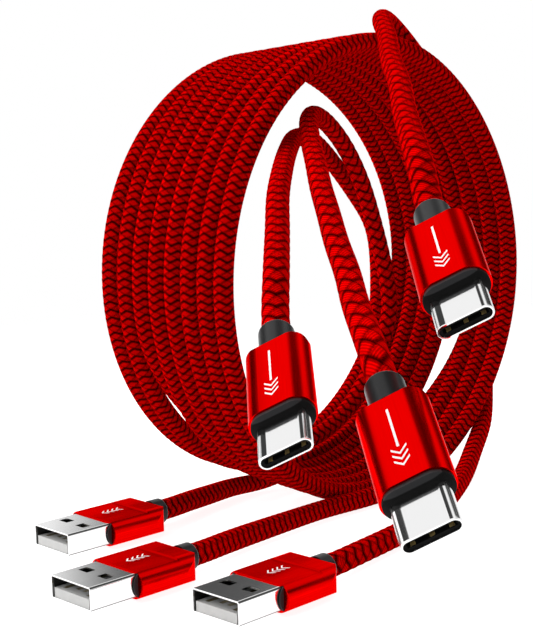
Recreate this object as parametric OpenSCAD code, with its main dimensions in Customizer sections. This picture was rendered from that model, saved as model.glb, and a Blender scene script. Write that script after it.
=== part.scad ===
// Three braided charging cables, USB-A to USB-C, wound together into one coil.
// The coil stands on edge, the USB-A plugs lie on the surface in front of it,
// and the stiff tails hold the USB-C plugs up in the air.
// Each plug is a fitted stack: metal shell, insulator, contacts, inner mould,
// anodised sleeve and rubber collar. All sizes are millimetres, +Z is up.

/* [Cord] */
// Diameter of the braided cord
cord_d = 4.2; // [4.1:0.05:4.2]

/* [Coil] */
// Spacing of neighbouring turns along the coil's axis
turn_pitch = 4.5; // [4.4:0.05:4.5]
// Number of turns in the coil that each cable winds
turns = [2, 3, 3]; // [1:1:3]
// Mean radius of each cable's turns
turn_r = [47.2, 47.9, 47.6]; // [46.5:0.1:48]

/* [USB-A plug] */
// Width of the metal shell
a_shell_w = 12; // [11.9:0.05:12.1]
// Height of the metal shell
a_shell_h = 4.5; // [4.4:0.05:4.6]
// Sheet thickness of the metal shell
a_wall = 0.3; // [0.25:0.05:0.35]
// Length of shell that stands out of the sleeve
a_exposed = 10.5; // [10:0.1:12]
// Width of the sleeve across its rounded sides
a_sleeve_w = 15.6; // [15.4:0.1:16.4]
// Thickness of the sleeve
a_sleeve_h = 5.6; // [5.5:0.05:5.8]
// Length of the sleeve
a_sleeve_len = 15.2; // [14.8:0.1:16]
// Diameter of the rubber collar
a_collar_d = 5.5; // [5.2:0.1:5.5]
// Length of collar that shows behind the sleeve
a_collar_len = 3; // [2:0.1:4]

/* [USB-C plug] */
// Width of the metal shell
c_shell_w = 8.25; // [8.2:0.05:8.3]
// Height of the metal shell
c_shell_h = 2.4; // [2.35:0.05:2.45]
// Wall thickness of the metal shell
c_wall = 0.3; // [0.25:0.05:0.3]
// Length of shell that stands out of the black front ring
c_exposed = 6.65; // [6.6:0.05:6.8]
// Width of the sleeve
c_sleeve_w = 10.4; // [10.2:0.1:11]
// Thickness of the sleeve
c_sleeve_h = 6; // [5.8:0.1:6.2]
// Length of the sleeve
c_sleeve_len = 16.5; // [16:0.5:18]
// Diameter of the rubber collar
c_collar_d = 5.7; // [5.4:0.1:5.8]
// Length of collar that shows behind the sleeve
c_collar_len = 5.65; // [5:0.05:6]

/* [Hidden] */
$fn = 48;
eps = 0.01;
cables = [1, 2, 3];
cord_r = cord_d / 2;

KINDS = [
    "usb_a_shell", "usb_a_tongue", "usb_a_contacts", "usb_a_core", "usb_a_sleeve", "usb_a_collar",
    "usb_c_shell", "usb_c_insulator", "usb_c_contacts", "usb_c_springs", "usb_c_latch",
    "usb_c_card", "usb_c_core", "usb_c_sleeve", "usb_c_collar",
    "cord_a", "coil", "cord_c"
];

// Colours
metal = "silver";
gold = "goldenrod";
red = "crimson";
cord_red = "firebrick";
black = "#1c1c1e";
tongue_grey = "gainsboro";
board_green = "darkgreen";

// Where the foot of the coil's axis lies in the part's own frame.
// Every place below is measured from that foot.
foot = [-49.8, 30.4, 0];

// USB-A plugs: middle of the mouth on the surface, and lean away from +Y
a_place = [[-10.8, -74.6, 0], [18.8, -92.4, 0], [44.5, -80.7, 0]];
a_lean = [-1.9, -1.2, -0.2];
a_axis_z = a_sleeve_h / 2;

// USB-C plugs: middle of the mouth, and [dip, roll, heading] of the plug
c_place = [[87.5, -106.2, 41.1], [106.2, -90.7, 58.6], [116.3, -111.4, 36.3]];
c_turn = [[24.4, -29.2, 46.1], [24.9, -29.2, 46.8], [26.1, -30.4, 51.4]];

// Middle of each cable's turns
coil_place = [[-13.5, -4.7, 53.3], [11.25, -1.6, 50], [-2.25, -3.5, 52]];

// Hand-laid stretches of cord between the plugs and the coil
cord_a_route = [
    [[-11.5, -37, 2.5], [-12.5, -28.5, 2.3], [-13.5, -20.5, 2.2], [-12, -11, 2.1]],
    [[18, -54.5, 2.5], [17, -46.5, 2.3], [16.5, -34, 2.3], [16, -22, 2.2]],
    [[43, -42.5, 2.4], [42, -35.5, 2.3], [40.5, -26, 2.2], [37.5, -12, 2.1], [31.5, 4, 3],
     [26.5, 15.5, 4.5], [22, 25, 7.5], [18, 34.5, 12], [12.5, 43, 17.5], [8, 49, 25],
     [4, 51, 34.5], [3, 48.3, 48]]
];
cord_c_route = [
    [[-17.5, 38, 50.5], [-16, 34.5, 59.5], [-14, 26, 67.5], [-11, 16, 74.5], [-6.5, 5, 80],
     [-1, -5.5, 82.5], [4.5, -15, 82.5], [15.5, -29, 80], [29, -45, 76], [38, -55.5, 72],
     [46, -64, 67.5], [52.5, -71, 64], [59, -78, 60.5]],
    [[7.5, 39, 83], [7, 35, 90.5], [7, 28.5, 97.5], [7, 21, 104], [9, 12.5, 108], [14.5, 3, 108],
     [26.5, -9.5, 103], [39, -23.5, 97], [49.5, -34, 92.5], [59.5, -45, 87], [70.5, -56.5, 82],
     [78, -64, 78]],
    [[-7, -26, 15.5], [-7, -15, 11.5], [-7, -4, 10.5], [-7, 6.5, 12.5], [-7.5, 16, 17.5],
     [-7.5, 23.5, 25.5], [-6.5, 29.5, 38], [-6.5, 27.5, 50], [-5.5, 22.5, 61.5], [-3.5, 16, 71.5],
     [-1, 7.5, 80], [2, -1, 85], [6, -10, 87.5], [11.5, -18, 86.5], [22, -29, 82],
     [32, -38.5, 78], [41, -47, 73.5], [49.5, -54.5, 69.5], [58, -62, 65], [66.5, -69, 61],
     [74.5, -76.5, 57.5], [83.5, -84.5, 54.5]]
];
a_lead = 3;
c_lead = 5;
cord_sides = 10;

// USB-A inner sizes
a_shell_r = 0.5;
a_shell_end = 15.5;
a_window = [2.7, 2];
a_window_x = 2.85;
a_window_y = 5.9;
a_tongue_w = a_shell_w - 2 * a_wall;
a_tongue_h = 1.84;
a_tongue_front = 0.2;
a_pin_w = 1;
a_pin_h = 0.3;
a_pin_x = [-3.5, -1, 1, 3.5];
a_pin_front = [1.2, 2.2, 2.2, 1.2];
a_cavity_h = a_shell_h - 2 * a_wall;
a_sleeve_wall = 0.35;
a_back = a_exposed + a_sleeve_len;
a_corner_r = 4.8;
a_shoulder_r = 1.3;
a_inner_shoulder_r = 0.8;
a_core_end = a_back - 1.5;
a_neck_d = 4.4;
a_lip = 0.8;
a_nose_out = 1;
a_nose_w = 0.4;
a_nose_r = (pow(a_shell_h / 2, 2) + pow(a_nose_out, 2)) / (2 * a_nose_out);
a_mouth = [a_shell_w + 2 * a_nose_w, a_shell_h];
a_step_y = 20.2;
a_step = [0.2, 0.3];

// USB-C inner sizes
c_shell_end = 11.5;
c_shell_edge_r = 0.12;
c_insulator_front = 0.35;
c_insulator_end = 10.5;
c_cavity = [6.7, 0.8];
c_cavity_end = 6;
c_pin_pitch = 0.5;
c_pin = [0.25, 3.4, 0.15];
c_pin_y = 2.4;
c_top_row = [0, 3, 4, 5, 6, 8, 11];
c_bottom_row = [0, 3, 4, 8, 11];
c_spring = [0.7, 1, 0.15];
c_spring_x = [-2.6, 0, 2.6];
c_spring_y = 0.5;
c_latch = [0.3, 4.5, 0.7];
c_card = [7, 8, 0.6];
c_ring_out = 1.1;
c_ring_chamfer = [1, 0.5];
c_front = c_exposed + c_ring_out;
c_back = c_front + c_sleeve_len;
c_core_end = c_back - 1.7;
c_sleeve_wall = 0.3;
c_inside_w = c_sleeve_w - 2 * c_sleeve_wall;
c_inside_h = c_sleeve_h - 2 * c_sleeve_wall;
c_corner_r = 0.6;
c_shoulder_r = 0.4;
c_inner_r = 0.2;
c_neck_d = 4.4;
collar_edge_r = 0.4;

// ---- placing ----

// Puts a USB-A plug, built with its mouth at Y = 0 and its cord towards +Y, in place
module place_a(i) {
    translate(foot + a_place[i - 1] + [0, 0, a_axis_z]) rotate([0, 0, a_lean[i - 1]]) children();
}

// Puts a USB-C plug, built the same way, in place
module place_c(i) {
    turn = c_turn[i - 1];
    translate(foot + c_place[i - 1]) rotate([0, 0, turn[2]]) rotate([turn[0], 0, 0]) rotate([0, turn[1], 0])
        children();
}

// Unit vector along each plug, from the mouth to the cord
function a_along(i) = [-sin(a_lean[i - 1]), cos(a_lean[i - 1]), 0];
function c_along(i) = let (t = c_turn[i - 1])
    [-sin(t[2]) * cos(t[0]), cos(t[2]) * cos(t[0]), sin(t[0])];

// Where the cord leaves each plug
function a_exit(i) = a_place[i - 1] + [0, 0, a_axis_z] + (a_back + a_collar_len) * a_along(i);
function c_exit(i) = c_place[i - 1] + (c_back + c_collar_len) * c_along(i);

// ---- outlines ----

module stadium(w, h) {
    square([w - h, h], center = true);
    for (s = [-1, 1]) translate([s * (w - h) / 2, 0]) circle(d = h);
}

module rounded_rect(w, h, r) {
    square([w, h - 2 * r], center = true);
    square([w - 2 * r, h], center = true);
    for (sx = [-1, 1]) for (sy = [-1, 1])
        translate([sx * (w / 2 - r), sy * (h / 2 - r)]) circle(r = r);
}

// Rectangle from y1 to y2 whose two corners at y2 are rounded
module back_rounded(w, y1, y2, r) {
    translate([-w / 2, y1]) square([w, y2 - y1 - r]);
    translate([r - w / 2, y1]) square([w - 2 * r, y2 - y1]);
    for (s = [-1, 1]) translate([s * (w / 2 - r), y2 - r]) circle(r = r);
}

// Extrudes an X-Z outline along the plug, from y1 to y2
module run(y1, y2) {
    translate([0, y2, 0]) rotate([90, 0, 0]) linear_extrude(y2 - y1) children();
}

// Sweeps a half outline round a stadium. In the outline X is the distance from
// the stadium's middle line and Y runs along the plug.
module round_stadium(w, h) {
    for (s = [-1, 1]) translate([s * (w - h) / 2, 0, 0]) rotate([-90, 0, 0]) rotate_extrude() children();
    rotate([0, -90, 0]) linear_extrude(w - h, center = true) {
        children();
        mirror([1, 0]) children();
    }
}

// Sleeve form: a stadium section whose back corners are rounded in plan and in side view
module sleeve_form(w, h, y1, y2, corner_r, shoulder_r) {
    intersection() {
        run(y1, y2) stadium(w, h);
        linear_extrude(2 * h, center = true) back_rounded(w, y1 - 1, y2, corner_r);
        rotate([0, 90, 0]) linear_extrude(2 * w, center = true) back_rounded(h, y1 - 1, y2, shoulder_r);
    }
}

// Collar with a thin neck inside the sleeve and a softened back edge
module collar_form(d, neck_d, y0, y1, y2) {
    rotate([-90, 0, 0]) rotate_extrude() {
        translate([0, y0]) square([neck_d / 2, y1 - y0 + eps]);
        translate([0, y1]) square([d / 2, y2 - y1 - collar_edge_r]);
        translate([0, y1]) square([d / 2 - collar_edge_r, y2 - y1]);
        translate([d / 2 - collar_edge_r, y2 - collar_edge_r]) circle(r = collar_edge_r);
    }
}

// ---- USB-A plug ----

// The outside of the shell as a solid, which also cuts its seat in the pieces round it
module a_shell_body() {
    run(0, a_shell_end) rounded_rect(a_shell_w, a_shell_h, a_shell_r);
}

module usb_a_shell(i) {
    color(metal) place_a(i) difference() {
        a_shell_body();
        run(-1, a_shell_end + 1)
            rounded_rect(a_shell_w - 2 * a_wall, a_cavity_h, a_shell_r - a_wall);
        for (s = [-1, 1]) translate([s * a_window_x, a_window_y, 0])
            cube([a_window[0], a_window[1], 2 * a_shell_h], center = true);
    }
}

module a_pins(extra) {
    for (k = [0 : 3])
        translate([a_pin_x[k] - a_pin_w / 2, a_pin_front[k], a_tongue_h - a_pin_h - a_cavity_h / 2])
            cube([a_pin_w, a_shell_end - a_pin_front[k] + extra, a_pin_h + extra]);
}

module usb_a_tongue(i) {
    color(tongue_grey) place_a(i) difference() {
        translate([-a_tongue_w / 2 + a_shell_r, a_tongue_front, -a_cavity_h / 2])
            cube([a_tongue_w - 2 * a_shell_r, a_shell_end - a_tongue_front, a_tongue_h]);
        a_pins(1);
    }
}

module usb_a_contacts(i) {
    color(gold) place_a(i) a_pins(0);
}

// The space inside the sleeve, from y1 to the back of the inner mould
module a_inside(y1) {
    sleeve_form(a_sleeve_w - 2 * a_sleeve_wall, a_shell_h, y1, a_core_end, a_corner_r - a_sleeve_wall,
        a_inner_shoulder_r);
}

// Inner mould, with a nose that bulges forward on both sides of the shell
module usb_a_core(i) {
    color(black) place_a(i) difference() {
        union() {
            a_inside(a_exposed + a_lip);
            run(a_exposed, a_exposed + a_lip + eps) square(a_mouth, center = true);
            intersection() {
                translate([0, a_exposed - a_nose_out + a_nose_r, 0]) rotate([0, 90, 0])
                    cylinder(r = a_nose_r, h = a_mouth[0], center = true);
                run(a_exposed - 2, a_exposed + eps) square([2 * a_sleeve_w, a_shell_h], center = true);
            }
        }
        a_shell_body();
    }
}

// Milled flat on the top of the sleeve, which ends in a step for the thumb
module a_top_flat() {
    top = a_sleeve_h / 2;
    rotate([90, 0, 90]) linear_extrude(2 * a_sleeve_w, center = true) polygon([
        [a_exposed - 1, top - a_step[1]],
        [a_step_y, top - a_step[1]],
        [a_step_y + a_step[0], top],
        [a_step_y + a_step[0], top + 1],
        [a_exposed - 1, top + 1]
    ]);
}

module usb_a_sleeve(i) {
    color(red) place_a(i) difference() {
        sleeve_form(a_sleeve_w, a_sleeve_h, a_exposed, a_back, a_corner_r, a_shoulder_r);
        a_inside(a_exposed + a_lip);
        run(a_exposed - 1, a_exposed + a_lip + eps) square(a_mouth, center = true);
        run(a_core_end - 1, a_back + 1) circle(d = a_neck_d);
        a_shell_body();
        a_top_flat();
    }
}

module usb_a_collar(i) {
    color(black) place_a(i)
        collar_form(a_collar_d, a_neck_d, a_core_end, a_back, a_back + a_collar_len);
}

// ---- USB-C plug ----

// Half outline of the shell, with its front edge rounded
module c_shell_half() {
    half = c_shell_h / 2;
    square([half - c_shell_edge_r, c_shell_end]);
    translate([0, c_shell_edge_r]) square([half, c_shell_end - c_shell_edge_r]);
    translate([half - c_shell_edge_r, c_shell_edge_r]) circle(r = c_shell_edge_r, $fn = 16);
}

module usb_c_shell(i) {
    color(metal) place_c(i) difference() {
        round_stadium(c_shell_w, c_shell_h) c_shell_half();
        run(-1, c_shell_end + 1) stadium(c_shell_w - 2 * c_wall, c_shell_h - 2 * c_wall);
    }
}

module c_pins() {
    z = c_cavity[1] / 2;
    for (k = c_top_row) translate([(k - 5.5) * c_pin_pitch - c_pin[0] / 2, c_pin_y, z]) cube(c_pin);
    for (k = c_bottom_row)
        translate([(5.5 - k) * c_pin_pitch - c_pin[0] / 2, c_pin_y, -z - c_pin[2]]) cube(c_pin);
}

module c_spring_pads() {
    z = c_cavity[1] / 2;
    for (x = c_spring_x) for (bottom = [-z - c_spring[2], z])
        translate([x - c_spring[0] / 2, c_spring_y, bottom]) cube(c_spring);
}

module c_latch_arms() {
    for (s = [-1, 1]) translate([s * (c_cavity[0] + c_latch[0]) / 2, c_pin_y + c_latch[1] / 2 - 1, 0])
        cube(c_latch, center = true);
}

module usb_c_insulator(i) {
    color(black) place_c(i) difference() {
        run(c_insulator_front, c_insulator_end) stadium(c_shell_w - 2 * c_wall, c_shell_h - 2 * c_wall);
        run(0, c_cavity_end) square(c_cavity, center = true);
        c_pins();
        c_spring_pads();
        c_latch_arms();
    }
}

module usb_c_contacts(i) {
    color(gold) place_c(i) c_pins();
}

module usb_c_springs(i) {
    color(gold) place_c(i) c_spring_pads();
}

module usb_c_latch(i) {
    color(metal) place_c(i) c_latch_arms();
}

module c_card_form() {
    translate([0, c_insulator_end + c_card[1] / 2, 0]) cube(c_card, center = true);
}

module usb_c_card(i) {
    color(board_green) place_c(i) c_card_form();
}

// The space inside the sleeve, from y1 to the back of the inner mould
module c_inside(y1) {
    sleeve_form(c_inside_w, c_inside_h, y1, c_core_end, c_inner_r, c_inner_r);
}

// Half outline that gives the inner mould its flat, chamfered front ring
module c_ring_half() {
    half = c_inside_h / 2;
    polygon([
        [0, c_exposed],
        [half - c_ring_chamfer[0], c_exposed],
        [half + c_ring_chamfer[0], c_exposed + 2 * c_ring_chamfer[1]],
        [half + c_ring_chamfer[0], c_back],
        [0, c_back]
    ]);
}

module usb_c_core(i) {
    color(black) place_c(i) difference() {
        intersection() {
            c_inside(c_exposed - 1);
            round_stadium(c_inside_w, c_inside_h) c_ring_half();
        }
        run(0, c_shell_end) stadium(c_shell_w, c_shell_h);
        c_card_form();
    }
}

module usb_c_sleeve(i) {
    color(red) place_c(i) difference() {
        sleeve_form(c_sleeve_w, c_sleeve_h, c_front, c_back, c_corner_r, c_shoulder_r);
        c_inside(c_exposed - 1);
        run(c_core_end - 1, c_back + 1) circle(d = c_neck_d);
    }
}

module usb_c_collar(i) {
    color(black) place_c(i)
        collar_form(c_collar_d, c_neck_d, c_core_end, c_back, c_back + c_collar_len);
}

// ---- cord ----

function unit(v) = v / norm(v);
function heading(p, k) = unit(p[min(k + 1, len(p) - 1)] - p[max(k - 1, 0)]);

// One side vector per point, carried along the route without twisting
function side_vectors(p, k = 0, last = [1, 0, 0]) =
    k == len(p) ? [] :
    let (t = heading(p, k), side = unit(last - (last * t) * t))
    concat([side], side_vectors(p, k + 1, side));

// Round tube swept along the route's points, with flat ends
module tube(p, r) {
    sides = side_vectors(p);
    rings = [
        for (k = [0 : len(p) - 1])
            for (s = [0 : cord_sides - 1])
                let (a = 360 * s / cord_sides)
                p[k] + r * (cos(a) * sides[k] + sin(a) * cross(heading(p, k), sides[k]))
    ];
    walls = [
        for (k = [0 : len(p) - 2])
            for (s = [0 : cord_sides - 1])
                let (n = (s + 1) % cord_sides, here = k * cord_sides, next = here + cord_sides)
                [here + s, next + s, next + n, here + n]
    ];
    start = [for (s = [0 : cord_sides - 1]) s];
    end = [for (s = [cord_sides - 1 : -1 : 0]) (len(p) - 1) * cord_sides + s];
    polyhedron(rings, concat(walls, [start, end]), convexity = 4);
}

module cord_a(i) {
    exit = a_exit(i);
    start = [exit, exit + a_lead * a_along(i)];
    color(cord_red) translate(foot) tube(concat(start, cord_a_route[i - 1]), cord_r);
}

module cord_c(i) {
    exit = c_exit(i);
    end = [exit + c_lead * c_along(i), exit];
    color(cord_red) translate(foot) tube(concat(cord_c_route[i - 1], end), cord_r);
}

// The turns of one cable, as one ring with a rounded edge on each side
module coil(i) {
    width = turns[i - 1] * turn_pitch - 0.1;
    color(cord_red) translate(foot + coil_place[i - 1]) rotate([0, 90, 0])
        rotate_extrude($fn = 96) translate([turn_r[i - 1], 0]) rotate(90) stadium(width, cord_d);
}

for (i = cables) {
    usb_a_shell(i);
    usb_a_tongue(i);
    usb_a_contacts(i);
    usb_a_core(i);
    usb_a_sleeve(i);
    usb_a_collar(i);
    usb_c_shell(i);
    usb_c_insulator(i);
    usb_c_contacts(i);
    usb_c_springs(i);
    usb_c_latch(i);
    usb_c_card(i);
    usb_c_core(i);
    usb_c_sleeve(i);
    usb_c_collar(i);
    cord_a(i);
    coil(i);
    cord_c(i);
}
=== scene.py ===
# %% [markdown]
# # Three braided charging cables, wound into one coil
#
# The object is a set of three cables, each with a USB-A plug on the surface and a USB-C plug that
# its stiff tail holds up in the air. The CAD model gives every rigid piece its size and place.
# Here the pieces get their finish, and the cords get their real braid, yarn by yarn.

import math

import bmesh
import bpy
import numpy as np
from mathutils import Matrix, Vector


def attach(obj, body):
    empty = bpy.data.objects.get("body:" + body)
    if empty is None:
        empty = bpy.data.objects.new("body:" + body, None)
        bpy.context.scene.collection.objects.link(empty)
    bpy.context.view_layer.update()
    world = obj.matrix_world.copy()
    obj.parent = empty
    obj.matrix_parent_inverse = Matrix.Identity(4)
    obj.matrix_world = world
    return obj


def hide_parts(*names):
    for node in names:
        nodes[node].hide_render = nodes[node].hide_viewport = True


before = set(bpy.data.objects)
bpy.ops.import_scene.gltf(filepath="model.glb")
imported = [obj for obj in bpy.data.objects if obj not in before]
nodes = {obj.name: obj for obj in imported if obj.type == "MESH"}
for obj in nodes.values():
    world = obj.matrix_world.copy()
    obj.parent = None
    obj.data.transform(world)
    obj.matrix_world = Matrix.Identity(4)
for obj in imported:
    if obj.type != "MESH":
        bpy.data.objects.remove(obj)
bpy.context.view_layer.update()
MM = 0.001
CABLES = (1, 2, 3)

# %% [markdown]
# ## Camera
#
# A long lens stands a little above the plugs and looks down by some eight degrees. The camera
# leans by less than two degrees, so upright edges tilt slightly. It comes first, because the
# cords are judged through it. A new camera looks straight down, so a quarter turn raises it to the
# horizon.

# %% Camera
CAMERA_AT = Vector((165.0, -206.65, 84.7)) * MM
HEADING, DIP, LEAN = math.radians(134.86), math.radians(-7.87), math.radians(-1.79)
QUARTER = math.pi / 2

camera_data = bpy.data.cameras.new("camera")
camera_data.sensor_width = 36
camera_data.lens = 77.8
camera_data.clip_start = 0.01
camera = bpy.data.objects.new("camera", camera_data)
camera.matrix_world = (
    Matrix.Translation(CAMERA_AT)
    @ Matrix.Rotation(HEADING - QUARTER, 4, "Z")
    @ Matrix.Rotation(QUARTER + DIP, 4, "X")
    @ Matrix.Rotation(LEAN, 4, "Z")
)
scene = bpy.context.scene
scene.collection.objects.link(camera)
scene.camera = camera
scene.view_settings.view_transform = "Standard"
print("camera at", [round(x, 4) for x in camera.location], "lens", camera_data.lens)

# %% [markdown]
# ## Where the cords run
#
# Each cord leaves its USB-A collar, crosses the surface, joins the coil, makes its share of the
# eight turns, and leaves again for its USB-C plug. The free stretches are listed points, the
# same as in the CAD source. The turns follow a rule: an ellipse whose size and place drift a
# little from turn to turn, because the winding is by hand and not on a drum.
#
# A plug's place is the middle of its mouth. A USB-A plug lies flat, so one lean in degrees gives
# its direction. A USB-C plug is in the air, so it has three angles: dip, roll and heading.

# %% Listed points, in millimetres from the foot of the coil's axis
FOOT = np.array([-49.8, 30.4, 0.0])  # where that foot is in the frame

a_place = {1: (-10.8, -74.6), 2: (18.8, -92.4), 3: (44.5, -80.7)}
a_lean = {1: -1.9, 2: -1.2, 3: -0.2}
A_AXIS_Z = 2.8
A_CORD_AT = 28.7  # from the mouth to the collar's end
A_LEAD = 3  # how far the cord runs straight out of the collar

c_place = {1: (87.5, -106.2, 41.1), 2: (106.2, -90.7, 58.6), 3: (116.3, -111.4, 36.3)}
c_turn = {1: (24.4, -29.2, 46.1), 2: (24.9, -29.2, 46.8), 3: (26.1, -30.4, 51.4)}
C_CORD_AT = 29.9
C_LEAD = 5

cord_a_route = {
    1: [(-11.5, -37, 2.5), (-12.5, -28.5, 2.3), (-13.5, -20.5, 2.2), (-12, -11, 2.1)],
    2: [(18, -54.5, 2.5), (17, -46.5, 2.3), (16.5, -34, 2.3), (16, -22, 2.2)],
    3: [(43, -42.5, 2.4), (42, -35.5, 2.3), (40.5, -26, 2.2), (37.5, -12, 2.1), (31.5, 4, 3),
        (26.5, 15.5, 4.5), (22, 25, 7.5), (18, 34.5, 12), (12.5, 43, 17.5), (8, 49, 25),
        (4, 51, 34.5), (3, 48.3, 48)],
}
cord_c_route = {
    1: [(-17.5, 38, 50.5), (-16, 34.5, 59.5), (-14, 26, 67.5), (-11, 16, 74.5), (-6.5, 5, 80),
        (-1, -5.5, 82.5), (4.5, -15, 82.5), (15.5, -29, 80), (29, -45, 76), (38, -55.5, 72),
        (46, -64, 67.5), (52.5, -71, 64), (59, -78, 60.5)],
    2: [(7.5, 39, 83), (7, 35, 90.5), (7, 28.5, 97.5), (7, 21, 104), (9, 12.5, 108),
        (14.5, 3, 108), (26.5, -9.5, 103), (39, -23.5, 97), (49.5, -34, 92.5), (59.5, -45, 87),
        (70.5, -56.5, 82), (78, -64, 78)],
    3: [(-7, -26, 15.5), (-7, -15, 11.5), (-7, -4, 10.5), (-7, 6.5, 12.5), (-7.5, 16, 17.5),
        (-7.5, 23.5, 25.5), (-6.5, 29.5, 38), (-6.5, 27.5, 50), (-5.5, 22.5, 61.5),
        (-3.5, 16, 71.5), (-1, 7.5, 80), (2, -1, 85), (6, -10, 87.5), (11.5, -18, 86.5),
        (22, -29, 82), (32, -38.5, 78), (41, -47, 73.5), (49.5, -54.5, 69.5), (58, -62, 65),
        (66.5, -69, 61), (74.5, -76.5, 57.5), (83.5, -84.5, 54.5)],
}


def a_along(i):
    """Direction from the mouth to the cord."""
    lean = math.radians(a_lean[i])
    return np.array([-math.sin(lean), math.cos(lean), 0.0])


def c_along(i):
    dip, _, heading = [math.radians(v) for v in c_turn[i]]
    return np.array(
        [-math.sin(heading) * math.cos(dip), math.cos(heading) * math.cos(dip), math.sin(dip)]
    )


def a_exit(i):
    return np.array([*a_place[i], A_AXIS_Z]) + A_CORD_AT * a_along(i)


def c_exit(i):
    return np.array(c_place[i]) + C_CORD_AT * c_along(i)


print("cords leave the USB-A plugs at", [a_exit(i).round(1).tolist() for i in CABLES])


# %% The turns of the coil, by a rule
COIL_X, PITCH = 15.75, 4.5
COIL_Y, Y_DRIFT = -1.6, 0.475
COIL_Z, Z_DRIFT = 52.5, 0.12
HALF_WIDTH, WIDTH_LOSS = 47.4, 0.045
HALF_HEIGHT, HEIGHT_LOSS = 50.4, 0.457
FLAT_AT, FLAT_REACH, FLAT_DEPTH = 45, 60, 1.1  # the winding is flatter on one shoulder
FOOT_SHIFT, FOOT_SPREAD = 2.0, 0.25  # at the foot the turns lie nearer to each other
STEP = 15


def on_turn(angle, out=0.0, aside=0.0):
    """Centre of the cord at an angle in degrees, counted along the whole winding.

    out moves the point away from the coil's middle, aside moves it along the coil's axis."""
    turn = angle / 360 - 0.5
    packed = max(turn, 0.0)
    a = math.radians(angle)
    from_flat = (angle - FLAT_AT + 180) % 360 - 180
    if abs(from_flat) < FLAT_REACH:
        out -= FLAT_DEPTH * math.cos(math.radians(90 / FLAT_REACH * from_flat)) ** 2
    low = max(0.0, -math.sin(a)) ** 2
    x = COIL_X - PITCH * turn + low * (FOOT_SPREAD * turn - FOOT_SHIFT) + aside
    y = COIL_Y - Y_DRIFT * turn + (HALF_WIDTH - WIDTH_LOSS * turn + out) * math.cos(a)
    z = COIL_Z + Z_DRIFT * packed + (HALF_HEIGHT - HEIGHT_LOSS * packed + out) * math.sin(a)
    return (x, y, z)


def turns(first, last, out=0.0, aside=0.0):
    """Points along the winding; out and aside grow from nothing to their value on the way."""
    count = round((last - first) / STEP)
    share = [k / max(count, 1) for k in range(count + 1)]
    ease = [s * s * (3 - 2 * s) for s in share]
    return [on_turn(first + STEP * k, out * e, aside * e) for k, e in enumerate(ease)]


# Where each cable's share starts and ends, in degrees. Cables 2 and 3 step out of line at the end.
winding = {
    1: turns(2072, 2852),
    2: turns(-90, 1005) + turns(1020, 1065, out=4.3, aside=2.2)[1:],
    3: turns(1095, 1995) + turns(1995, 2025, out=-3.2, aside=0.8)[1:],
}
print("points on the turns:", {i: len(p) for i, p in winding.items()})


# %% One smooth line per cord
PER_SPAN = 16


def through(points):
    """A smooth line through given points, with an even pace where their spacing changes."""
    p = np.array(points, float)
    p = np.vstack([2 * p[0] - p[1], p, 2 * p[-1] - p[-2]])
    line = []
    for k in range(1, len(p) - 2):
        before, here, there, after = p[k - 1 : k + 3]
        d1, d2, d3 = (
            math.sqrt(np.linalg.norm(gap))
            for gap in (here - before, there - here, after - there)
        )
        start = ((here - before) / d1 - (there - before) / (d1 + d2) + (there - here) / d2) * d2
        end = ((there - here) / d2 - (after - here) / (d2 + d3) + (after - there) / d3) * d2
        for t in np.arange(PER_SPAN) / PER_SPAN:
            line.append(
                (2 * t**3 - 3 * t**2 + 1) * here
                + (t**3 - 2 * t**2 + t) * start
                + (3 * t**2 - 2 * t**3) * there
                + (t**3 - t**2) * end
            )
    return np.array(line + [p[-2]])


def distances(line):
    """How far along the line each of its points is."""
    return np.concatenate([[0], np.cumsum(np.linalg.norm(np.diff(line, axis=0), axis=1))])


def length_of(line):
    return float(distances(line)[-1])


def paced(line, places):
    """The line's points at these distances from its start."""
    run = distances(line)
    return np.stack([np.interp(places, run, line[:, k]) for k in range(3)], axis=1)


EASE_STEP, EASE_REACH = 0.5, 3.0


def relaxed(line):
    """Evens out small kinks, as a cord's own stiffness does, and keeps both ends."""
    line = paced(line, np.linspace(0, length_of(line), round(length_of(line) / EASE_STEP) + 1))
    side = int(4 * EASE_REACH / EASE_STEP)
    weights = np.exp(-0.5 * (np.arange(-side, side + 1) * EASE_STEP / EASE_REACH) ** 2)
    weights /= weights.sum()
    padded = np.vstack(
        [2 * line[0] - line[side:0:-1], line, 2 * line[-1] - line[-2 : -side - 2 : -1]]
    )
    return np.stack([np.convolve(padded[:, k], weights, "valid") for k in range(3)], axis=1)


BEND_STEP = 4
cord_line = {}
coil_span = {}  # where each cord joins the coil and leaves it, along the cord
for i in CABLES:
    start = [a_exit(i), a_exit(i) + A_LEAD * a_along(i)] + cord_a_route[i]
    middle = start + winding[i]
    whole = middle + cord_c_route[i] + [c_exit(i) + C_LEAD * c_along(i), c_exit(i)]
    cord_line[i] = relaxed(through(whole))
    coil_span[i] = (length_of(through(start)), length_of(through(middle)))
    length, (joins, leaves) = length_of(cord_line[i]), coil_span[i]
    steps = paced(cord_line[i], np.arange(0, length, BEND_STEP))
    bend = BEND_STEP**2 / np.linalg.norm(np.diff(steps, 2, axis=0), axis=1).max()
    print(f"cord {i}: {length:.0f} mm long, lowest {cord_line[i][:, 2].min():.2f} mm,",
          f"tightest bend {bend:.1f} mm, coiled from {joins:.0f} to {leaves:.0f} mm")

# %% [markdown]
# ## Writing node trees as Python
#
# Shader and geometry trees are long to build by hand. One small class wraps a socket, so that
# maths on sockets reads as maths on numbers, and one method adds any other node.


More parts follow.
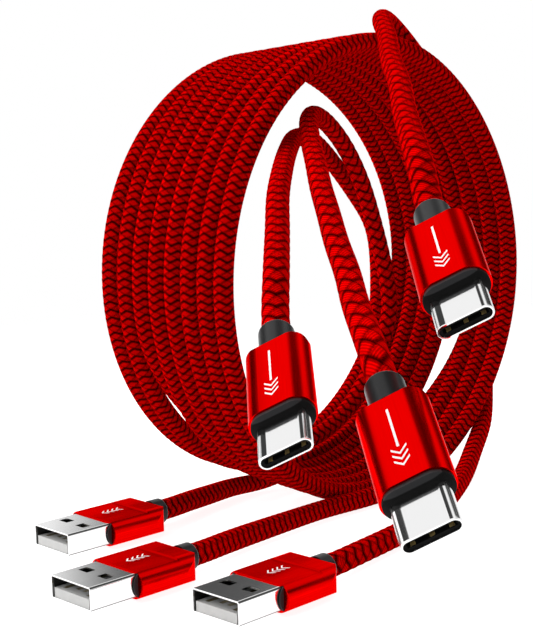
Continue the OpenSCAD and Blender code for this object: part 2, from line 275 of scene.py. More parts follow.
# %% Sockets that understand arithmetic
class Socket:
    """An output of a node, on which Python's operators add Math nodes."""

    def __init__(self, tree, port):
        self.tree = tree
        self.port = port

    def maths(self, operation, *values):
        given = dict(enumerate(values))
        return self.tree.add("ShaderNodeMath", {"operation": operation}, given)[0]

    def __add__(self, other):
        return self.maths("ADD", self, other)

    def __sub__(self, other):
        return self.maths("SUBTRACT", self, other)

    def __rsub__(self, other):
        return self.maths("SUBTRACT", other, self)

    def __mul__(self, other):
        return self.maths("MULTIPLY", self, other)

    def __truediv__(self, other):
        return self.maths("DIVIDE", self, other)

    def __rtruediv__(self, other):
        return self.maths("DIVIDE", other, self)

    def __mod__(self, other):
        return self.maths("FLOORED_MODULO", self, other)

    __radd__ = __add__
    __rmul__ = __mul__

    def at_most(self, other):
        return self.maths("MINIMUM", self, other)

    def at_least(self, other):
        return self.maths("MAXIMUM", self, other)

    def between(self, low, high):
        """0 below low, 1 above high, and a smooth rise from one to the other."""
        node = self.tree.add(
            "ShaderNodeMapRange",
            {"interpolation_type": "SMOOTHSTEP"},
            {"Value": self, "From Min": low, "From Max": high},
        )
        return node["Result"]


def find_port(ports, name):
    """The usable port with this name, or at this place among the usable ones."""
    usable = [port for port in ports if port.enabled]
    return usable[name] if isinstance(name, int) else [p for p in usable if p.name == name][0]


class Tree:
    """A node tree, with one method that adds a node of any type."""

    def __init__(self, tree):
        self.tree = tree

    def add(self, kind, settings=None, sockets=None):
        """Adds a node, makes its settings first, then fills its sockets with values or links."""
        node = self.tree.nodes.new(kind)
        for name, value in (settings or {}).items():
            setattr(node, name, value)
        for name, value in (sockets or {}).items():
            port = find_port(node.inputs, name)
            if isinstance(value, Socket):
                self.tree.links.new(value.port, port)
            else:
                port.default_value = value
        return Outputs(self, node)


class Outputs:
    """The outputs of a node, by name or by number."""

    def __init__(self, tree, node):
        self.tree = tree
        self.node = node

    def __getitem__(self, name):
        return Socket(self.tree, find_port(self.node.outputs, name))


print("sockets:", [name for name in vars(Socket) if not name.startswith("__")])

# %% [markdown]
# ## The braid
#
# The jacket is a tubular braid: four flat bundles of nylon filaments wind one way round the cord,
# four wind the other way, and each goes over one and under one of the others. A bump map would
# give the pattern but a flat surface, so every yarn is a ribbon of its own, lifted and lowered
# where it crosses. A yarn's height follows a wave, so Geometry Nodes can place all its points by
# a rule.
#
# The script first walks along each cord and notes a row of places, 24 to each full wind of a
# yarn, with a side and an up direction that don't twist. The tree then turns every row into a
# ring. Near the plugs the real braid is looser and the cord a little thicker, so each cord has a
# table of how far a yarn runs in one wind, and two factors thicken its ends.

# %% How tight the braid is along each cord
YARNS = 4  # in each direction
ACROSS = 6  # points across a yarn
ROWS = 24  # in one wind

# Millimetres of cord in one wind: in the coil, then after a USB-A collar and before a USB-C one,
# with how far from the collar each of those values holds.
COIL_WIND = 6.6
a_wind = {1: (7.2, 5.9, 5.8), 2: (7.4, 6.6, 6.2), 3: (12.8, 10.2, 8.5)}
AFTER_A = (5, 20, 40)
c_wind = {1: (13, 14, 13.6, 13.3), 2: (14, 16.5, 16, 13), 3: (14, 14.5, 18, 21)}
BEFORE_C = (120, 80, 40, 5)
SETTLES = 40  # how far into the coil a braid takes on the coil's wind
SAMPLES = 5000

A_GIRTH, C_GIRTH = 1.12, 1.1
THICK_A = 0.3  # the share of the USB-A tail that is thick all along
THICK_C = 15  # millimetres of thick cord before a USB-C collar
tail_twist = {1: 0.0, 2: 0.125, 3: 0.09}  # turns by which the USB-C tail is twisted


def eased(place, first, last):
    """0 before first, 1 after last, with a smooth rise between."""
    share = np.clip((place - first) / (last - first), 0, 1)
    return share * share * (3 - 2 * share)


def wind_at(i, place):
    """Length of cord in which a yarn winds once round it."""
    joins, leaves = coil_span[i]
    end = length_of(cord_line[i])
    marks = [*AFTER_A, joins + SETTLES, leaves, *(end - gap for gap in BEFORE_C)]
    winds = [*a_wind[i], COIL_WIND, COIL_WIND, *c_wind[i]]
    return np.interp(place, marks, winds)


def rows_of(i):
    """Distances along the cord of the braid's rows."""
    place = np.linspace(0, length_of(cord_line[i]), SAMPLES)
    count = np.concatenate([[0], np.cumsum(np.diff(place) * ROWS / wind_at(i, place[1:]))])
    return np.interp(np.linspace(0, count[-1], round(count[-1]) + 1), count, place)


braid_rows = {i: rows_of(i) for i in CABLES}
print("rows in each braid:", {i: len(rows) for i, rows in braid_rows.items()})


# %% The cord's line as a mesh that carries its directions
def untwisted(line):
    """Side and up directions along a line, carried from point to point without twisting."""
    ahead = np.gradient(line, axis=0)
    ahead /= np.linalg.norm(ahead, axis=1)[:, None]
    side = np.empty_like(line)
    last = np.array([1.0, 0.0, 0.0])
    for k, forward in enumerate(ahead):
        last = last - (last @ forward) * forward
        last /= np.linalg.norm(last)
        side[k] = last
    return side, np.cross(ahead, side)


def route_mesh(i):
    """A mesh of loose points, one for each row, with its directions and girth as attributes."""
    rows = braid_rows[i]
    line = paced(cord_line[i], rows)
    side, up = untwisted(line)
    (joins, leaves), end = coil_span[i], length_of(cord_line[i])
    mid_tail = 0.5 * (leaves + end)
    angle = 2 * math.pi * tail_twist[i] * eased(rows, leaves, mid_tail)[:, None]
    cos, sin = np.cos(angle), np.sin(angle)
    side, up = side * cos + up * sin, up * cos - side * sin
    mesh = bpy.data.meshes.new(f"route_{i}")
    mesh.vertices.add(len(line))
    mesh.vertices.foreach_set("co", ((line + FOOT) * MM).ravel())
    for name, values in (("side", side), ("up", up)):
        attribute = mesh.attributes.new(name, "FLOAT_VECTOR", "POINT")
        attribute.data.foreach_set("vector", values.ravel())
    girth = 1 + (A_GIRTH - 1) * (1 - eased(rows, THICK_A * joins, joins))
    girth += (C_GIRTH - 1) * eased(rows, mid_tail, end - THICK_C)
    mesh.attributes.new("girth", "FLOAT", "POINT").data.foreach_set("value", girth)
    return mesh


# %% The tree that winds the yarns
CROWN_AT = 0.27  # how much of its crown a yarn's middle stands above the radius


def braid_tree():
    """A grid of all yarns side by side, with its joining faces cut out, wound round the route.

    Radius, Lift and Crown are in metres: how far out the yarns lie, how far a yarn is lifted where
    it crosses over, and how far it is rounded across. Turn is where the first yarn starts, in
    turns. Fill is the share of its place that a yarn fills. Hand is the way round, 1 or -1."""
    group = bpy.data.node_groups.new("wind_yarns", "GeometryNodeTree")
    face = group.interface
    face.new_socket("Geometry", in_out="INPUT", socket_type="NodeSocketGeometry")
    for name, kind, value in (
        ("Yarns", "NodeSocketInt", YARNS),
        ("Radius", "NodeSocketFloat", 0.00201),
        ("Lift", "NodeSocketFloat", 0.00006),
        ("Crown", "NodeSocketFloat", 0.00004),
        ("Turn", "NodeSocketFloat", 0.0625),
        ("Fill", "NodeSocketFloat", 0.95),
        ("Hand", "NodeSocketFloat", 1.0),
    ):
        face.new_socket(name, in_out="INPUT", socket_type=kind).default_value = value
    face.new_socket("Material", in_out="INPUT", socket_type="NodeSocketMaterial")
    face.new_socket("Geometry", in_out="OUTPUT", socket_type="NodeSocketGeometry")
    tree = Tree(group)
    given = tree.add("NodeGroupInput")
    route, yarns, fill, hand = given["Geometry"], given["Yarns"], given["Fill"], given["Hand"]

    rows = tree.add("GeometryNodeAttributeDomainSize", {"component": "MESH"}, {"Geometry": route})
    across_count = yarns * ACROSS
    grid = tree.add(
        "GeometryNodeMeshGrid",
        {},
        {"Vertices X": rows["Point Count"], "Vertices Y": across_count},
    )
    face_column = tree.add("GeometryNodeInputIndex")["Index"] % (across_count - 1)
    bridge = tree.add(
        "FunctionNodeCompare",
        {"data_type": "FLOAT", "operation": "GREATER_THAN"},
        {"A": face_column % ACROSS, "B": ACROSS - 1.5},
    )
    ribbons = tree.add(
        "GeometryNodeDeleteGeometry",
        {"domain": "FACE", "mode": "ONLY_FACE"},
        {"Geometry": grid["Mesh"], "Selection": bridge["Result"]},
    )

    index = tree.add("GeometryNodeInputIndex")["Index"]
    column = index % across_count
    row = (index - column) / across_count
    place_across = column % ACROSS
    yarn = (column - place_across) / ACROSS
    offset = (place_across - (ACROSS - 1) / 2) / (ACROSS - 1)
    winds = hand * row / ROWS
    turned = winds + (yarn + offset * fill) / yarns + given["Turn"]
    beat = winds * yarns * 2 + offset * fill
    height = hand * beat.maths("COSINE", beat * math.pi)

    def carried(name, kind):
        read = tree.add("GeometryNodeInputNamedAttribute", {"data_type": kind}, {"Name": name})
        return tree.add(
            "GeometryNodeSampleIndex",
            {"data_type": kind, "domain": "POINT"},
            {"Geometry": route, "Value": read["Attribute"], "Index": row},
        )["Value"]

    girth = carried("girth", "FLOAT")
    edge = offset * offset * 4
    crown = given["Crown"] * (CROWN_AT - edge)
    out = given["Radius"] * girth + given["Lift"] * height + crown
    angle = turned * (2 * math.pi)
    to_side = tree.add(
        "ShaderNodeVectorMath",
        {"operation": "SCALE"},
        {0: carried("side", "FLOAT_VECTOR"), "Scale": out * angle.maths("COSINE", angle)},
    )[0]
    to_up = tree.add(
        "ShaderNodeVectorMath",
        {"operation": "SCALE"},
        {0: carried("up", "FLOAT_VECTOR"), "Scale": out * angle.maths("SINE", angle)},
    )[0]
    position = tree.add("GeometryNodeInputPosition")["Position"]
    centre = tree.add(
        "GeometryNodeSampleIndex",
        {"data_type": "FLOAT_VECTOR", "domain": "POINT"},
        {"Geometry": route, "Value": position, "Index": row},
    )["Value"]
    spread = tree.add("ShaderNodeVectorMath", {"operation": "ADD"}, {0: to_side, 1: to_up})[0]
    place = tree.add("ShaderNodeVectorMath", {"operation": "ADD"}, {0: centre, 1: spread})[0]
    wound = tree.add(
        "GeometryNodeSetPosition", {}, {"Geometry": ribbons["Geometry"], "Position": place}
    )
    for name, value in (("across", offset * 2), ("beat", beat), ("hand", hand)):
        wound = tree.add(
            "GeometryNodeStoreNamedAttribute",
            {"data_type": "FLOAT", "domain": "POINT"},
            {"Geometry": wound["Geometry"], "Name": name, "Value": value},
        )
    smooth = tree.add("GeometryNodeSetShadeSmooth", {}, {"Geometry": wound["Geometry"]})
    real = tree.add("GeometryNodeRealizeInstances", {}, {"Geometry": smooth["Geometry"]})
    dressed = tree.add(
        "GeometryNodeSetMaterial",
        {},
        {"Geometry": real["Geometry"], "Material": given["Material"]},
    )
    tree.add("NodeGroupOutput", {}, {"Geometry": dressed["Geometry"]})
    return group


wind_yarns = braid_tree()
print("nodes in the tree:", len(wind_yarns.nodes))


# %% [markdown]
# ## The finish of the yarns
#
# A yarn is a flat bundle of dyed filaments, and fine lines run along it. Its colour is darkened
# with painted shade where it dives under another yarn and along its edges. The painted shade is
# stronger on one side and at one end of each crossing, where the next yarn covers it. The ribbons
# carry how far across and how far along its crossing each point is, so the pattern follows every
# yarn round the cord and through each bend.


# %% A helper for materials, and the yarns' finish
def finish(name, describe):
    """A material whose Principled sockets are filled by a function of its tree."""
    material = bpy.data.materials.new(name)
    material.use_nodes = True
    material.node_tree.nodes.clear()
    tree = Tree(material.node_tree)
    surface = tree.add("ShaderNodeBsdfPrincipled", {}, describe(tree))
    tree.add("ShaderNodeOutputMaterial", {}, {"Surface": surface["BSDF"]})
    return material


def blend(tree, share, first, second):
    """One colour turning into another."""
    return tree.add(
        "ShaderNodeMix",
        {"data_type": "RGBA"},
        {"Factor": share, "A": (*first, 1), "B": (*second, 1)},
    )["Result"]


def carried_by(tree, name):
    """A value that the mesh carries for each of its points."""
    return tree.add("ShaderNodeAttribute", {"attribute_name": name})["Fac"]


def grain(tree, size):
    """Noise on the object's own coordinates, with features of about this size in millimetres."""
    place = tree.add("ShaderNodeTexCoord")["Object"]
    return tree.add(
        "ShaderNodeTexNoise", {}, {"Vector": place, "Scale": 1 / (size * MM), "Detail": 2.0}
    )["Fac"]


def bumped(tree, height, depth):
    """A normal raised by up to depth millimetres."""
    return tree.add("ShaderNodeBump", {}, {"Distance": depth * MM, "Height": height})["Normal"]


STRANDS = 5  # lines along each yarn


def dyed_nylon(tree):
    """Red where a yarn lies open, and nearly black with painted shade where the next one covers
    its side or its end.

    across runs from -1 to 1 over a yarn, along from -1 to 1 over each crossing on top."""
    across, beat = carried_by(tree, "across"), carried_by(tree, "beat")
    hand = carried_by(tree, "hand")
    lift = hand * beat.maths("COSINE", beat * math.pi)
    dome = (1 - across * across) * lift.at_least(0)
    along = ((beat + 1.5 - hand * 0.5) % 2 - 1) * 2
    # Painted shade: these four masks darken each yarn's sides and ends, the first two most, for
    # the shade between crossing yarns.
    packed = (0 - across).between(0.35, 0.95) * 0.95
    painted_shade_end = along.between(0.4, 1.0) * 0.95
    painted_shade_other_side = across.between(0.6, 1.0) * 0.5
    painted_shade_other_end = (0 - along).between(0.6, 1.0) * 0.5
    strands = across.maths("COSINE", across * (STRANDS * math.pi)) * 0.5 + 0.5
    worn = grain(tree, 3) * 0.3 + 0.85
    light = (1 - packed) * (1 - painted_shade_end) * (1 - painted_shade_other_side) * (1 - painted_shade_other_end)
    light = light * (strands * 0.55 + 0.45) * worn
    return {
        "Base Color": blend(tree, light.at_most(1), (0.012, 0.0, 0.0), (0.95, 0.0, 0.0)),
        "Roughness": 0.75 - strands * 0.15,
        "Specular IOR Level": 0.0,
        "Sheen Weight": 1.0,
        "Sheen Roughness": 0.3,
        "Sheen Tint": (1, 0.0, 0.0, 1),
        "Normal": bumped(tree, dome + strands * 0.16, 0.22),
    }


# Painted shade: the core's dark red is partly its own colour and partly painted shade for the gaps
# between the yarns.
def dark_filler(tree):
    return {
        "Base Color": blend(tree, grain(tree, 0.4), (0.05, 0.0, 0.0), (0.18, 0.0, 0.0)),
        "Roughness": 0.9,
        "Specular IOR Level": 0.0,
    }


yarn = finish("dyed_nylon", dyed_nylon)
filler = finish("dark_filler", dark_filler)
print("finishes:", yarn.name, filler.name)


# %% [markdown]
# ### The yarns of each cord
#
# Each cord needs two windings, one each way round, and both come from the same tree with other
# inputs. The result is made a plain mesh and the modifier goes, because an exported model can't
# carry a tree. A game engine also needs a map for its textures. A yarn is far longer than it is
# wide, so it is cut into strips that share one square.


# %% Wind the yarns
def input_id(group, name):
    """The identifier of a tree's input, which a modifier is set by."""
    return [item.identifier for item in group.interface.items_tree if item.name == name][0]


def plain_mesh(holder, name):
    """The evaluated result of an object's modifiers, as a plain mesh object at the origin."""
    evaluated = holder.evaluated_get(bpy.context.evaluated_depsgraph_get())
    mesh = bpy.data.meshes.new_from_object(evaluated)
    mesh.name = name
    piece = bpy.data.objects.new(name, mesh)
    scene.collection.objects.link(piece)
    old = holder.data
    bpy.data.objects.remove(holder)
    bpy.data.meshes.remove(old)
    return piece


yarn_turn = {1: 0.015, 2: 0.0625, 3: 0.0625}  # where each cord's first yarn starts, in turns


def wound_yarns(i, hand, name):
    """All the yarns of one cord that wind one way round it, as one plain mesh."""
    holder = bpy.data.objects.new("winding", route_mesh(i))
    scene.collection.objects.link(holder)
    modifier = holder.modifiers.new("wind_yarns", "NODES")
    modifier.node_group = wind_yarns
    modifier[input_id(wind_yarns, "Hand")] = float(hand)
    modifier[input_id(wind_yarns, "Turn")] = yarn_turn[i]
    modifier[input_id(wind_yarns, "Material")] = yarn
    return plain_mesh(holder, name)


STRIPS = 10
SIDE_GAP, END_GAP = 0.04, 0.005


def lay_out(piece):
    """A map for textures: each yarn is cut into strips, which lie side by side."""
    mesh = piece.data
    corners = np.empty(len(mesh.loops), np.int32)
    mesh.loops.foreach_get("vertex_index", corners)
    row, column = corners // (ACROSS * YARNS), corners % (ACROSS * YARNS)
    first_row = np.repeat(row.reshape(-1, 4).min(axis=1), 4)
    strip_rows = row.max() // STRIPS + 1
    strip = first_row // strip_rows
    place = SIDE_GAP + (1 - 2 * SIDE_GAP) * (column % ACROSS) / (ACROSS - 1)
    u = (column // ACROSS * STRIPS + strip + place) / (STRIPS * YARNS)
    v = END_GAP + (1 - 2 * END_GAP) * (row - strip * strip_rows) / strip_rows
    layer = mesh.uv_layers.new(name="OFBake")
    layer.uv.foreach_set("vector", np.stack([u, v], axis=1).astype(np.float32).ravel())


yarns_of = {}
for i in CABLES:
    yarns_of[i] = [
        wound_yarns(i, 1, f"right_hand_yarns_{i}"), wound_yarns(i, -1, f"left_hand_yarns_{i}")
    ]
    for piece in yarns_of[i]:
        lay_out(piece)
        piece.visible_glossy = False
        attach(piece, "root")
    print(f"cord {i}: {len(yarns_of[i][0].data.polygons)} faces of yarn in each direction")

# %% [markdown]
# ### The core of each cord
#
# Under its braid a cable has a round jacket of its own, which shows in the gaps between the yarns.
# Its dark red is partly the jacket's own colour and partly painted shade for those gaps. A curve
# with a round bevel gives it, along the same line as the braid and over the cord's whole length.

# %% Cores of the cords
CORE_R = 1.9
CORE_POINTS = 600
for i in CABLES:
    line = paced(cord_line[i], np.linspace(0, length_of(cord_line[i]), CORE_POINTS)) + FOOT
    curve = bpy.data.curves.new(f"cord_filler_{i}", "CURVE")
    curve.dimensions = "3D"
    spline = curve.splines.new("POLY")
    spline.points.add(len(line) - 1)
    for point, place in zip(spline.points, line * MM):
        point.co = (*place, 1)
    curve.bevel_depth = CORE_R * MM
    curve.bevel_resolution = 3
    core = bpy.data.objects.new(f"cord_filler_{i}", curve)
    core.data.materials.append(filler)
    core.visible_glossy = False
    scene.collection.objects.link(core)
    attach(core, "root")
    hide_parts(f"cord_a_{i}", f"coil_{i}", f"cord_c_{i}")

# %% [markdown]
# ## Finishes of the plugs
#
# The shells are drawn steel with bright nickel. Inside the mouth, where nothing polishes them, and
# on a USB-A shell's folded corners, they are rougher and darkened with painted shade. The sleeves
# are aluminium, blasted to a satin and dyed red, with faint lines along them from the draw, and a
# USB-A sleeve has painted shade on the slope before its step. Their faces aren't quite flat, which
# only the reflections show, so a bump gives each a shallow form across. Each pattern is laid in
# its own plug's directions, so a Mapping node turns object coordinates into the plug's: across,
# along from the mouth, and up, in millimetres.


# %% A plug's own directions
def plug_frame(kind, i):
    """Place and turn of a plug: its middle at the mouth, with Y along it."""
    if kind == "a":
        place, turn = (*a_place[i], A_AXIS_Z), Matrix.Rotation(math.radians(a_lean[i]), 3, "Z")
    else:
        dip, roll, heading = [math.radians(v) for v in c_turn[i]]
        place = c_place[i]
        turn = (
            Matrix.Rotation(heading, 3, "Z")
            @ Matrix.Rotation(dip, 3, "X")
            @ Matrix.Rotation(roll, 3, "Y")
        )
    return Vector(place) + Vector(FOOT), turn


def on_plug(tree, kind, i):
    """A point's place on the plug, in millimetres, as one socket and as three."""
    place, turn = plug_frame(kind, i)
    spot = tree.add(
        "ShaderNodeMapping",
        {"vector_type": "TEXTURE"},
        {
            "Vector": tree.add("ShaderNodeTexCoord")["Object"],
            "Location": place * MM,
            "Rotation": turn.to_euler(),
            "Scale": (MM, MM, MM),
        },
    )["Vector"]
    part = tree.add("ShaderNodeSeparateXYZ", {}, {"Vector": spot})
    return spot, part["X"], part["Y"], part["Z"]


ALONG = 0.12  # lines in a millimetre along the plug, fewer than across it


def drawn_lines(tree, spot, fineness):
    """Noise stretched along the plug."""
    fine = (fineness, ALONG, fineness)
    stretched = tree.add("ShaderNodeVectorMath", {"operation": "MULTIPLY"}, {0: spot, 1: fine})[0]
    return tree.add(
        "ShaderNodeTexNoise", {}, {"Vector": stretched, "Scale": 1.0, "Detail": 3}
    )["Fac"]


def unsigned(socket):
    """A value without its sign."""
    return socket.maths("ABSOLUTE", socket)


def within(x, half_width, fade):
    """1 nearer to the middle than half_width, and 0 at it and beyond."""
    return (half_width - unsigned(x)).between(0, fade)


def crowned(x, half_width, slope):
    """Height in millimetres of a faint crown across a face, steepest halfway to its edges."""
    wave = math.pi / half_width
    return x.maths("COSINE", x * wave) * (slope / wave)


print("plug frames:", [plug_frame("c", i)[0].to_tuple(1) for i in CABLES])


# %% Finishes
INSIDE_SHELL = {"a": (5.85, 2.1), "c": (3.9, 1.05)}  # half of the mouth's width and height
BENDS_AT = 7.85  # a USB-A shell is rougher and darkened with painted shade where its corners are folded, past this width plus height
FLAT_HALF, FLAT_MIDDLE = 2.5, 0.25  # a USB-C shell's flat face, past which it rounds off
SLEEVE_HALF = {"a": 7.8, "c": 5.2}
STEP_FROM, STEP_TO = 18.6, 20.5  # painted shade on the slope before a USB-A sleeve's step


def plated_steel(tree, kind, i):
    spot, x, y, z = on_plug(tree, kind, i)
    lines = drawn_lines(tree, spot, 5)
    half_width, half_height = INSIDE_SHELL[kind]
    # Painted shade: inside the mouth, and on a USB-A shell's folded corners, the colour is
    # darkened as well as roughened.
    dull_and_painted_shade = within(x, half_width, 0.15) * within(z, half_height, 0.15) * y.between(0.05, 0.6)
    relief = lines * 0.002
    if kind == "a":
        dull_and_painted_shade = dull_and_painted_shade.at_least((unsigned(x) + unsigned(z)).between(BENDS_AT, BENDS_AT + 0.1))
    else:
        edge = (unsigned(x - FLAT_MIDDLE) - FLAT_HALF).at_least(0)
        relief = relief + edge * edge / (edge + 0.25) * -0.5
    return {
        "Base Color": blend(tree, dull_and_painted_shade, (0.88, 0.88, 0.88), (0.07, 0.07, 0.068)),
        "Metallic": 1.0,
        "Roughness": lines * 0.05 + 0.07 + dull_and_painted_shade * 0.3,
        "Normal": bumped(tree, relief, 1),
    }


def anodised(tree, kind, i):
    spot, x, y, z = on_plug(tree, kind, i)
    lines, blast = drawn_lines(tree, spot, 4), grain(tree, 0.12)
    if kind == "c":
        deep = (0.78, 0.0, 0.0)
        left = (-3.0 - x).at_least(0)
        form = crowned(x, SLEEVE_HALF[kind], 0.1) - left * left * 0.1
    else:
        deep = (0.5, 0.0, 0.0)
        form = crowned(x, SLEEVE_HALF[kind], 0.05)
        # Painted shade: on a USB-A sleeve's top face, the slope before the step is darkened.
        step = y.between(STEP_FROM, STEP_TO - 0.3) * (1 - y.between(STEP_TO - 0.1, STEP_TO))
        lines = lines * (1 - step * z.between(2.0, 2.3) * 0.6)
    return {
        "Base Color": blend(tree, lines, deep, (0.93, 0.0, 0.0)),
        "Metallic": 1.0,
        "Specular Tint": (1, 0.0, 0.0, 1),
        "Roughness": lines * 0.08 + 0.2,
        "Normal": bumped(tree, (blast + lines) * 0.003 + form, 1),
    }


def black_mould(tree, kind, i):
    """Black, and made blacker with painted shade within the ring that shows round the shell."""
    _, x, _, z = on_plug(tree, kind, i)
    # Painted shade: the mould is blacker, and rougher, near the shell.
    painted_shade_ring = within(x, 6.3, 0.2) if kind == "a" else within(x, 5.0, 0.2) * within(z, 2.1, 0.2)
    return {
        "Base Color": blend(tree, painted_shade_ring, (0.03, 0.03, 0.032), (0.004, 0.004, 0.004)),
        "Roughness": grain(tree, 0.3) * 0.1 + 0.4 + painted_shade_ring * 0.4,
        "Specular IOR Level": 0.15,
        "Normal": bumped(tree, grain(tree, 0.15), 0.004),
    }


def rubber(tree, kind, i):
    return {
        "Base Color": blend(tree, grain(tree, 0.5), (0.004, 0.004, 0.004), (0.009, 0.009, 0.01)),
        "Roughness": grain(tree, 0.3) * 0.1 + 0.28,
        "Specular IOR Level": 0.25,
        "Normal": bumped(tree, grain(tree, 0.15), 0.004),
    }


def grey_mould(tree, kind, i):
    return {
        "Base Color": blend(tree, grain(tree, 1.5), (0.55, 0.55, 0.54), (0.66, 0.66, 0.65)),
        "Roughness": grain(tree, 0.3) * 0.1 + 0.5,
        "Normal": bumped(tree, grain(tree, 0.15), 0.003),
    }


def gold(tree, kind, i):
    light = (0.32, 0.26, 0.14) if kind == "a" else (0.95, 0.75, 0.35)
    return {
        "Base Color": blend(tree, grain(tree, 0.6), light, tuple(0.8 * v for v in light)),
        "Metallic": 0.6,
        "Roughness": grain(tree, 0.3) * 0.1 + 0.35,
    }


def board(tree, kind, i):
    return {
        "Base Color": blend(tree, grain(tree, 0.4), (0.01, 0.11, 0.04), (0.02, 0.2, 0.07)),
        "Roughness": grain(tree, 0.3) * 0.1 + 0.4,
    }


def spring_steel(tree, kind, i):
    spot = on_plug(tree, kind, i)[0]
    lines = drawn_lines(tree, spot, 6)
    return {
        "Base Color": blend(tree, lines, (0.5, 0.5, 0.5), (0.65, 0.65, 0.65)),
        "Metallic": 1.0,
        "Roughness": lines * 0.1 + 0.25,
    }


finish_of = {
    "shell": plated_steel,
    "sleeve": anodised,
    "core": black_mould,
    "insulator": black_mould,
    "collar": rubber,
    "tongue": grey_mould,
    "contacts": gold,
    "springs": gold,
    "latch": spring_steel,
    "card": board,
}
for name, node in nodes.items():
    part = name.split("_")
    if part[0] == "usb":
        kind, piece, i = part[1], part[2], int(part[3])
        describe = finish_of[piece]
        node.data.materials.clear()
        node.data.materials.append(
            finish(f"{describe.__name__}_{kind}_{i}", lambda tree: describe(tree, kind, i))
        )
print("materials:", len(bpy.data.materials))

# %% [markdown]
# ## Printed marks
#
# Each sleeve carries a small white print. Here it is a plain one of arrowheads that point to the
# mouth, with a bar behind them on a USB-C sleeve. A print could be a mask in the sleeve's
# material, but its edge would then be only as sharp as the texture that a game engine gets, so it
# is a film of mesh a few hundredths of a millimetre thick.

# %% Films of white ink
INK_ABOVE, INK_BELOW = 0.02, 0.05
A_TOP, C_TOP = 2.8, 3.0


def bar(x0, x1, y0, y1):
    return [(x0, y0), (x1, y0), (x1, y1), (x0, y1)]


def arrowhead(y, reach, stroke):
    """A V that points to the mouth."""
    return [(0, y), (reach, y + reach), (reach, y + reach + stroke), (0, y + stroke),
            (-reach, y + reach + stroke), (-reach, y + reach)]


def film(name, kind, i, outlines, top, ink):
    """Closed thin plates with these outlines, on the sleeve's upper face."""
    place, turn = plug_frame(kind, i)
    work = bmesh.new()
    for outline in outlines:
        low, high = (
            [work.verts.new((place + turn @ Vector((x, y, z))) * MM) for x, y in outline]
            for z in (top - INK_BELOW, top + INK_ABOVE)
        )
        work.faces.new(high)
        work.faces.new(low[::-1])
        for k in range(len(low)):
            n = (k + 1) % len(low)
            work.faces.new((low[k], low[n], high[n], high[k]))
    bmesh.ops.recalc_face_normals(work, faces=work.faces)
    mesh = bpy.data.meshes.new(name)
    work.to_mesh(mesh)
    work.free()
    mesh.materials.append(ink)
    piece = bpy.data.objects.new(name, mesh)
    scene.collection.objects.link(piece)
    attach(piece, "root")


def white_ink(tree):
    return {
        "Base Color": blend(tree, grain(tree, 0.4), (0.86, 0.86, 0.86), (0.98, 0.98, 0.98)),
        "Roughness": grain(tree, 0.2) * 0.2 + 0.5,
        "Specular IOR Level": 0.3,
    }


ink = finish("white_ink", white_ink)
for i in CABLES:
    heads = [arrowhead(y, 1.1, 0.4) for y in (10.2, 11.3, 12.4)]
    film(f"usb_c_print_{i}", "c", i, [bar(-0.17, 0.17, 13.9, 21.5)] + heads, C_TOP, ink)
    heads = [arrowhead(y, 1.0, 0.38) for y in (12.9, 14.1, 15.3, 16.5)]
    film(f"usb_a_print_{i}", "a", i, heads, A_TOP, ink)

# %% [markdown]
# ## Floor, world and lamps
#
# The cables stand on a white sweep. A ray from the camera, or one that comes off a shiny piece,
# meets paper that glows nearly white and still takes a soft shadow. Any other ray meets dimmer
# paper, so that the floor doesn't light the cords from below.

# %% Floor
PAPER_AT = -0.0004
DIM, BRIGHT = 0.5, 0.9

bpy.ops.mesh.primitive_plane_add(size=1.6, location=(0, 0, PAPER_AT))
floor = bpy.context.object
floor.name = "floor"
paper = bpy.data.materials.new("white_paper")
paper.use_nodes = True
paper.node_tree.nodes.clear()
tree = Tree(paper.node_tree)
rays = tree.add("ShaderNodeLightPath")
straight = rays["Is Camera Ray"] + rays["Is Glossy Ray"] + rays["Is Transmission Ray"]
from_middle = tree.add(
    "ShaderNodeVectorMath", {"operation": "LENGTH"}, {0: tree.add("ShaderNodeTexCoord")["Object"]}
)["Value"]
far = from_middle.between(0.15, 0.4)
fibres = grain(tree, 1.5) * 0.04 + 0.48
paleness = blend(tree, fibres * (1 - far), (0, 0, 0), (1, 1, 1))
lit = tree.add("ShaderNodeBsdfDiffuse", {}, {"Color": paleness})


def glowing(strength):
    """The lit paper with a glow of its own."""
    glow = tree.add("ShaderNodeEmission", {}, {"Color": (1, 1, 1, 1), "Strength": strength})
    return tree.add("ShaderNodeAddShader", {}, {0: lit["BSDF"], 1: glow["Emission"]})["Shader"]


mixed = tree.add(
    "ShaderNodeMixShader",
    {},
    {0: straight.at_most(1), 1: glowing(DIM), 2: glowing(BRIGHT + far * (1 - BRIGHT))},
)
tree.add("ShaderNodeOutputMaterial", {}, {"Surface": mixed["Shader"]})
floor.data.materials.append(paper)
print("floor:", floor.name, "at", PAPER_AT)

# %% [markdown]
# ### World
#
# The plated shells mirror whatever is round them, and bare white makes them look flat. A studio
# stands dark cards there, so the world has five soft ones, which only shiny rays see. The camera
# sees plain white. Everything else is lit from behind the object more than from the front, by one
# wide soft glow, which gives the cords their bright rims.

# %% World
GLOW, GLOOM = 0.5, 0.04

world = bpy.data.worlds.new("studio")
scene.world = world
world.use_nodes = True
world.node_tree.nodes.clear()
tree = Tree(world.node_tree)
rays = tree.add("ShaderNodeLightPath")
direction = tree.add("ShaderNodeTexCoord")["Generated"]


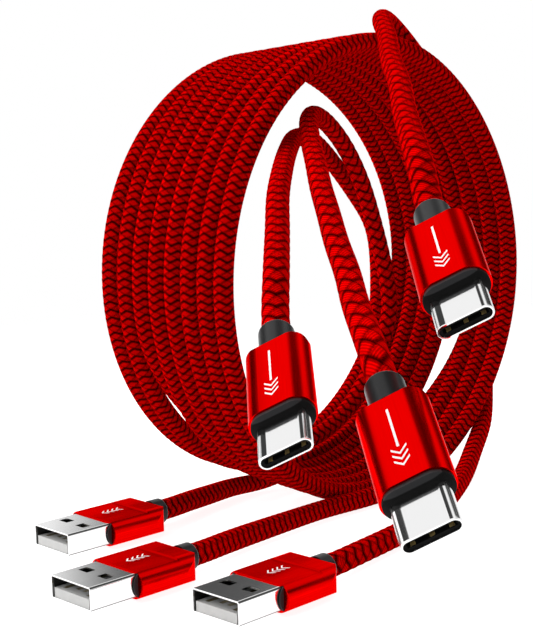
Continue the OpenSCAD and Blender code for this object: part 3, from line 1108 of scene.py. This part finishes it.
def patch(heading, height, inner, outer):
    """A round patch of the sky: 1 within inner degrees of its middle, 0 beyond outer."""
    h, e = math.radians(heading), math.radians(height)
    middle = (math.cos(e) * math.cos(h), math.cos(e) * math.sin(h), math.sin(e))
    nearness = tree.add(
        "ShaderNodeVectorMath", {"operation": "DOT_PRODUCT"}, {0: direction, 1: middle}
    )["Value"]
    return nearness.between(math.cos(math.radians(outer)), math.cos(math.radians(inner)))


cards = [
    patch(heading, height, inner, outer) * darkness
    for heading, height, inner, outer, darkness in (
        (110, 62, 12, 20, 0.95),
        (177, 13, 14, 19, 0.95),
        (104, 18, 10, 15, 0.95),
        (138, 18, 2, 7, 0.93),
        (46, 28, 9, 15, 0.95),
    )
]
dark = cards[0]
for card in cards[1:]:
    dark = dark.at_least(card)
shiny = rays["Is Glossy Ray"]
plain = (rays["Is Camera Ray"] + rays["Is Transmission Ray"]).at_most(1)
backdrop = patch(135, 5, 30, 95) * GLOW + GLOOM
strength = plain + shiny * (1 - dark) + (1 - plain) * (1 - shiny) * backdrop
sky = tree.add("ShaderNodeBackground", {}, {"Color": (1, 1, 1, 1), "Strength": strength})
tree.add("ShaderNodeOutputWorld", {}, {"Surface": sky["Background"]})
print("dark cards in the world:", len(cards))

# %% [markdown]
# ### Lamps
#
# Four soft lamps stand on the left, in front, above and behind. Reflections see neither them nor
# the cords, because a lamp would wash out the dark cards, and red streaks would spoil the bright
# shells.


# %% Lamps
def lamp(name, place, size, power):
    """A square soft lamp that faces the middle of the object."""
    to_middle = Vector((0, 0, 0.05)) - Vector(place)
    data = bpy.data.lights.new(name, "AREA")
    data.size = size
    data.energy = power
    holder = bpy.data.objects.new(name, data)
    holder.location = place
    holder.rotation_euler = to_middle.to_track_quat("-Z", "Y").to_euler()
    holder.visible_glossy = False
    scene.collection.objects.link(holder)


lamp("left_lamp", (-0.42, -0.2, 0.3), 0.35, 2.4)
lamp("front_lamp", (-0.2, -0.6, 0.35), 0.35, 1.2)
lamp("top_lamp", (0, 0, 0.6), 0.4, 1.6)
lamp("back_lamp", (0.05, 0.5, 0.2), 0.3, 0.8)
